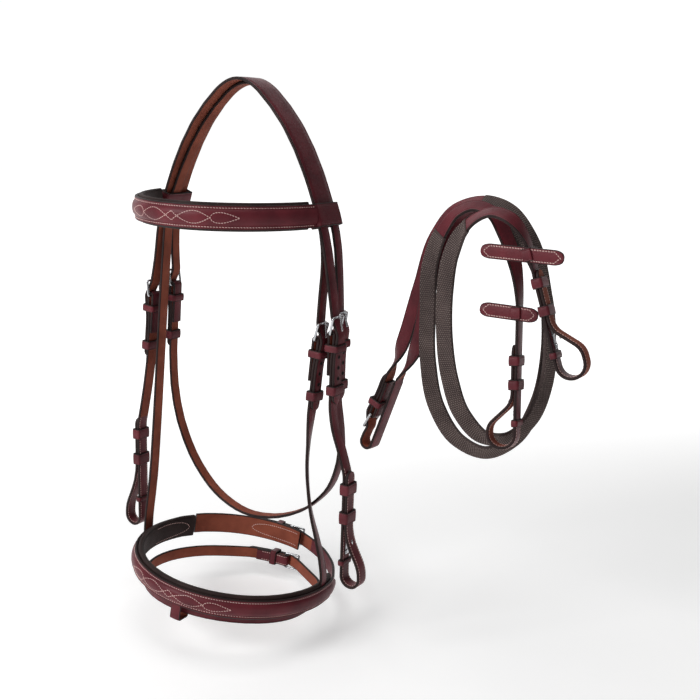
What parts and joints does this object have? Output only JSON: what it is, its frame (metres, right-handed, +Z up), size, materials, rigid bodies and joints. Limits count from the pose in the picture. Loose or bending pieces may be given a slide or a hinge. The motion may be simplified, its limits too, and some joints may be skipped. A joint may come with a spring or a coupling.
{
  "type": "snaffle bridle with flash noseband and reins",
  "caption": "English snaffle bridle hung from its poll: headstall, padded browband, flash noseband, throatlatch and rubber-grip reins with hook-stud bit loops.",
  "frame": {"origin": "middle of the underside of the noseband's sliphead where it crosses the poll", "axes": "+Z up, -Y to the front of the horse's face, +X to the horse's left (near) side; the reins hang beside the near side"},
  "size_m": [0.531, 0.24, 0.5772],
  "materials": {
    "leather": "waxed oxblood grain side, tan flesh side",
    "padding": "soft dark padded lining",
    "rubber": "pimpled matte rubber",
    "steel": "polished stainless"
  },
  "bodies": {
    "headstall": {"browband_face": "leather", "browband_loops": "leather", "browband_padding": "padding", "cheek_billet_keepers_left": "leather", "cheek_billet_keepers_right": "leather", "cheek_buckle_frame_left": "steel", "cheek_buckle_frame_right": "steel", "cheek_fixed_keepers": "leather", "cheek_hook_studs": "steel", "cheekpiece_left": "leather", "cheekpiece_right": "leather", "crown_headpiece": "leather", "flash_buckle_frame": "steel", "flash_fixed_keeper": "leather", "flash_loop": "leather", "flash_strap": "leather", "noseband_billet_strap": "leather", "noseband_buckle_chape": "leather", "noseband_buckle_frame": "steel", "noseband_cheek_strap": "leather", "noseband_chin_strap": "leather", "noseband_face": "leather", "noseband_fixed_keeper": "leather", "noseband_padding": "padding", "noseband_sliphead": "leather", "sliphead_buckle_frame": "steel", "sliphead_fixed_keeper": "leather", "throat_buckle_frame_left": "steel", "throat_buckle_frame_right": "steel", "throat_fixed_keepers": "leather", "throatlatch_strap": "leather"},
    "reins": {"rein_billet_keepers_left": "leather", "rein_billet_keepers_right": "leather", "rein_bit_strap_left": "leather", "rein_bit_strap_right": "leather", "rein_buckle_frame": "steel", "rein_buckle_keeper": "leather", "rein_grip_left": "rubber", "rein_grip_right": "rubber", "rein_hand_strap_left": "leather", "rein_hand_strap_right": "leather", "rein_hook_studs": "steel"},
    "cheek_buckle_tongue_left": {"cheek_buckle_tongue_left": "steel"},
    "cheek_buckle_tongue_right": {"cheek_buckle_tongue_right": "steel"},
    "throat_buckle_tongue_left": {"throat_buckle_tongue_left": "steel"},
    "throat_buckle_tongue_right": {"throat_buckle_tongue_right": "steel"},
    "sliphead_buckle_tongue": {"sliphead_buckle_tongue": "steel"},
    "noseband_buckle_tongue": {"noseband_buckle_tongue": "steel"},
    "flash_buckle_tongue": {"flash_buckle_tongue": "steel"},
    "rein_buckle_tongue": {"rein_buckle_tongue": "steel"},
    "cheek_runner_keeper_left": {"cheek_runner_keeper_left": "leather"},
    "cheek_runner_keeper_right": {"cheek_runner_keeper_right": "leather"},
    "throat_runner_keeper_left": {"throat_runner_keeper_left": "leather"},
    "throat_runner_keeper_right": {"throat_runner_keeper_right": "leather"},
    "sliphead_runner_keeper": {"sliphead_runner_keeper": "leather"},
    "rein_stop_left": {"rein_stop_left": "leather"},
    "rein_stop_right": {"rein_stop_right": "leather"}
  },
  "joints": [
    {"name": "reins_lift_off", "type": "slide", "parent": "headstall", "child": "reins", "axis": [0, 0, 1], "range_m": [0, 0.15]},
    {"name": "cheek_buckle_tongue_left_hinge", "type": "hinge", "parent": "headstall", "child": "cheek_buckle_tongue_left", "pos_m": [0.1215, -0.011, -0.241], "axis": [0, 1, 0], "range_deg": [0, 12]},
    {"name": "cheek_buckle_tongue_right_hinge", "type": "hinge", "parent": "headstall", "child": "cheek_buckle_tongue_right", "pos_m": [-0.1205, -0.011, -0.233], "axis": [0, -1, 0], "range_deg": [0, 12]},
    {"name": "throat_buckle_tongue_left_hinge", "type": "hinge", "parent": "headstall", "child": "throat_buckle_tongue_left", "pos_m": [0.1135, 0.0095, -0.241], "axis": [0, 1, 0], "range_deg": [0, 12]},
    {"name": "throat_buckle_tongue_right_hinge", "type": "hinge", "parent": "headstall", "child": "throat_buckle_tongue_right", "pos_m": [-0.108, 0.0095, -0.222], "axis": [0, -1, 0], "range_deg": [0, 12]},
    {"name": "sliphead_buckle_tongue_hinge", "type": "hinge", "parent": "headstall", "child": "sliphead_buckle_tongue", "pos_m": [0.104, -0.01312, -0.24948], "axis": [0, 0.9979, -0.0645], "range_deg": [0, 12]},
    {"name": "noseband_buckle_tongue_hinge", "type": "hinge", "parent": "headstall", "child": "noseband_buckle_tongue", "pos_m": [-0.01482, 0.10823, -0.53104], "axis": [0.0942, 0.0892, 0.9915], "range_deg": [0, 12]},
    {"name": "flash_buckle_tongue_hinge", "type": "hinge", "parent": "headstall", "child": "flash_buckle_tongue", "pos_m": [-0.01132, 0.09435, -0.55973], "axis": [0.0297, 0.1468, 0.9887], "range_deg": [0, 12]},
    {"name": "rein_buckle_tongue_hinge", "type": "hinge", "parent": "reins", "child": "rein_buckle_tongue", "pos_m": [0.114, 0.086, -0.347], "axis": [0.1013, 0.9947, -0.0155], "range_deg": [0, 12]},
    {"name": "cheek_runner_keeper_left_slide", "type": "slide", "parent": "headstall", "child": "cheek_runner_keeper_left", "axis": [0, 0, 1], "range_m": [-0.004, 0.004]},
    {"name": "cheek_runner_keeper_right_slide", "type": "slide", "parent": "headstall", "child": "cheek_runner_keeper_right", "axis": [0.0872, 0, 0.9962], "range_m": [-0.004, 0.004]},
    {"name": "throat_runner_keeper_left_slide", "type": "slide", "parent": "headstall", "child": "throat_runner_keeper_left", "axis": [0, 0, 1], "range_m": [-0.004, 0.004]},
    {"name": "throat_runner_keeper_right_slide", "type": "slide", "parent": "headstall", "child": "throat_runner_keeper_right", "axis": [0.0523, 0, 0.9986], "range_m": [-0.004, 0.004]},
    {"name": "sliphead_runner_keeper_slide", "type": "slide", "parent": "headstall", "child": "sliphead_runner_keeper", "axis": [0.0523, 0.0644, 0.9966], "range_m": [-0.004, 0.004]},
    {"name": "rein_stop_left_slide", "type": "slide", "parent": "reins", "child": "rein_stop_left", "axis": [-0.11, 0.1371, 0.9844], "range_m": [-0.003, 0.003]},
    {"name": "rein_stop_right_slide", "type": "slide", "parent": "reins", "child": "rein_stop_right", "axis": [-0.345, 0.037, 0.9379], "range_m": [-0.003, 0.003]}
  ]
}
